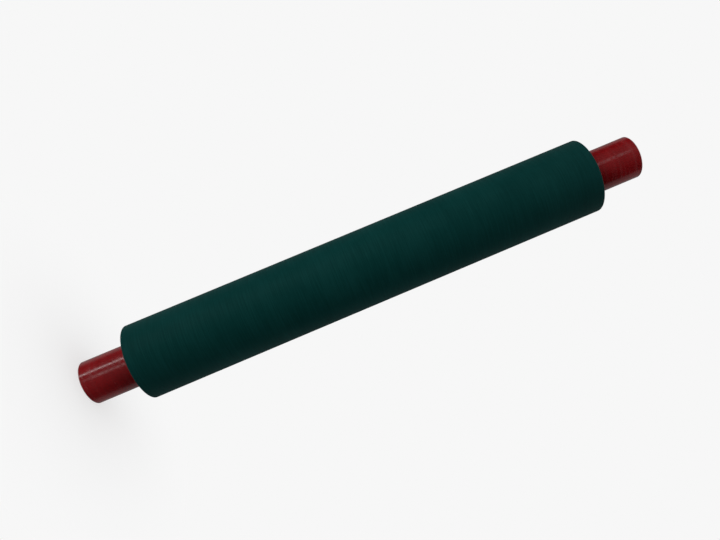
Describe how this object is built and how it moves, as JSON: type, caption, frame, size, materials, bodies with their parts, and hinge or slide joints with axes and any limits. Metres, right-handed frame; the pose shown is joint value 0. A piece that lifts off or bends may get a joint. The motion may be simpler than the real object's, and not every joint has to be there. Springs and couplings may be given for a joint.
{
  "type": "water form roller",
  "caption": "Rubber-covered steel form roller that runs on a spindle through a sealed ball bearing in each end.",
  "frame": {"origin": "centre of the lower end face of the tube, on which the roller stands", "axes": "+Z runs along the roller's axis, from the lower end face to the upper one; +Y points at the gaps of the retaining rings on the lower end"},
  "size_m": [0.056, 0.056, 0.429],
  "materials": {
    "core_paint": "gloss",
    "cover_rubber": "satin",
    "ring_steel": "gloss",
    "ball_steel": "polished",
    "cage_steel": "satin",
    "seal_rubber": "satin",
    "clip_steel": "satin"
  },
  "bodies": {
    "roller": {"core_tube": "core_paint", "rubber_cover": "cover_rubber", "lower_bearing_outer_ring": "ring_steel", "lower_outboard_seal": "seal_rubber", "lower_inboard_seal": "seal_rubber", "lower_retaining_ring": "clip_steel", "upper_bearing_outer_ring": "ring_steel", "upper_outboard_seal": "seal_rubber", "upper_inboard_seal": "seal_rubber", "upper_retaining_ring": "clip_steel"},
    "lower_inner_ring": {"lower_bearing_inner_ring": "ring_steel"},
    "lower_ball_set": {"lower_bearing_balls": "ball_steel", "lower_cage_outboard_half": "cage_steel", "lower_cage_inboard_half": "cage_steel", "lower_cage_rivets": "cage_steel"},
    "upper_inner_ring": {"upper_bearing_inner_ring": "ring_steel"},
    "upper_ball_set": {"upper_bearing_balls": "ball_steel", "upper_cage_outboard_half": "cage_steel", "upper_cage_inboard_half": "cage_steel", "upper_cage_rivets": "cage_steel"}
  },
  "joints": [
    {"name": "lower_inner_ring_spin", "type": "hinge", "parent": "roller", "child": "lower_inner_ring", "pos_m": [0, 0, 0.0078], "axis": [0, 0, 1], "continuous": true},
    {"name": "lower_ball_set_spin", "type": "hinge", "parent": "roller", "child": "lower_ball_set", "pos_m": [0, 0, 0.0078], "axis": [0, 0, 1], "continuous": true},
    {"name": "upper_inner_ring_spin", "type": "hinge", "parent": "roller", "child": "upper_inner_ring", "pos_m": [0, 0, 0.4212], "axis": [0, 0, 1], "continuous": true},
    {"name": "upper_ball_set_spin", "type": "hinge", "parent": "roller", "child": "upper_ball_set", "pos_m": [0, 0, 0.4212], "axis": [0, 0, 1], "continuous": true}
  ],
  "couplings": [
    {"joint": "lower_ball_set_spin", "follows": "lower_inner_ring_spin", "ratio": 0.36772},
    {"joint": "upper_ball_set_spin", "follows": "upper_inner_ring_spin", "ratio": 0.36772}
  ]
}
